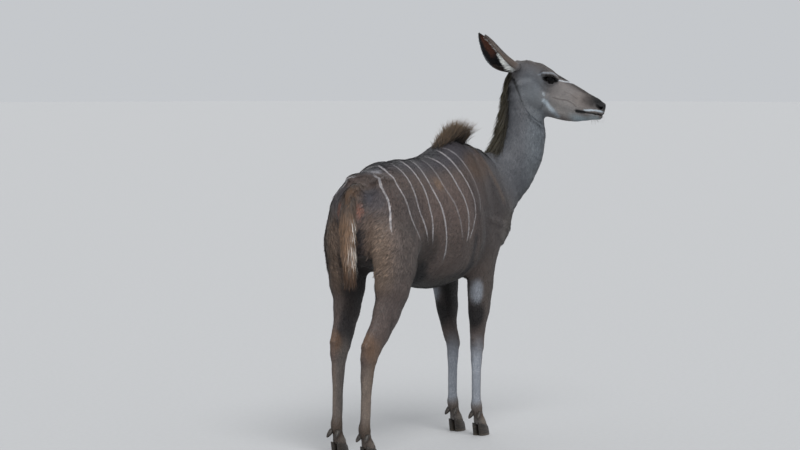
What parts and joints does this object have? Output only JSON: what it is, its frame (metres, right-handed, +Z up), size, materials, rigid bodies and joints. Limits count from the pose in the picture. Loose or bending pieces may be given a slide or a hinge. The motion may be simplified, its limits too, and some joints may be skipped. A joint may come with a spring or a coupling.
{
  "type": "greater kudu",
  "caption": "Life-size striped antelope cow, standing with her neck raised and her head turned to her right; a still model.",
  "frame": {"origin": "on the ground under the middle of the animal's bounding box", "axes": "+Z up, +X towards where the trunk faces, +Y to the animal's left"},
  "size_m": [1.384, 0.5871, 1.6661],
  "materials": {
    "coat_trunk": "short grey-brown coat with thin white stripes",
    "coat_neck": "short grey coat with a dark mane",
    "coat_head": "short grey-brown coat with white and black marks",
    "coat_leg": "short brown coat",
    "coat_tail": "long tawny hair",
    "horn": "smooth dark hoof horn",
    "eye": "wet dark eye"
  },
  "bodies": {
    "root": {"torso": "coat_trunk", "neck": "coat_neck", "head": "coat_head", "ear_right": "coat_head", "ear_left": "coat_head", "eye_right": "eye", "eye_left": "eye", "tail": "coat_tail", "forearm_right": "coat_leg", "thigh_right": "coat_leg", "cannon_fore_right": "coat_leg", "claw_fore_right_outer": "horn", "dewclaw_fore_right_outer": "horn", "claw_fore_right_inner": "horn", "dewclaw_fore_right_inner": "horn", "cannon_hind_right": "coat_leg", "claw_hind_right_outer": "horn", "dewclaw_hind_right_outer": "horn", "claw_hind_right_inner": "horn", "dewclaw_hind_right_inner": "horn", "forearm_left": "coat_leg", "thigh_left": "coat_leg", "cannon_fore_left": "coat_leg", "claw_fore_left_outer": "horn", "dewclaw_fore_left_outer": "horn", "claw_fore_left_inner": "horn", "dewclaw_fore_left_inner": "horn", "cannon_hind_left": "coat_leg", "claw_hind_left_outer": "horn", "dewclaw_hind_left_outer": "horn", "claw_hind_left_inner": "horn", "dewclaw_hind_left_inner": "horn"}
  },
  "joints": []
}
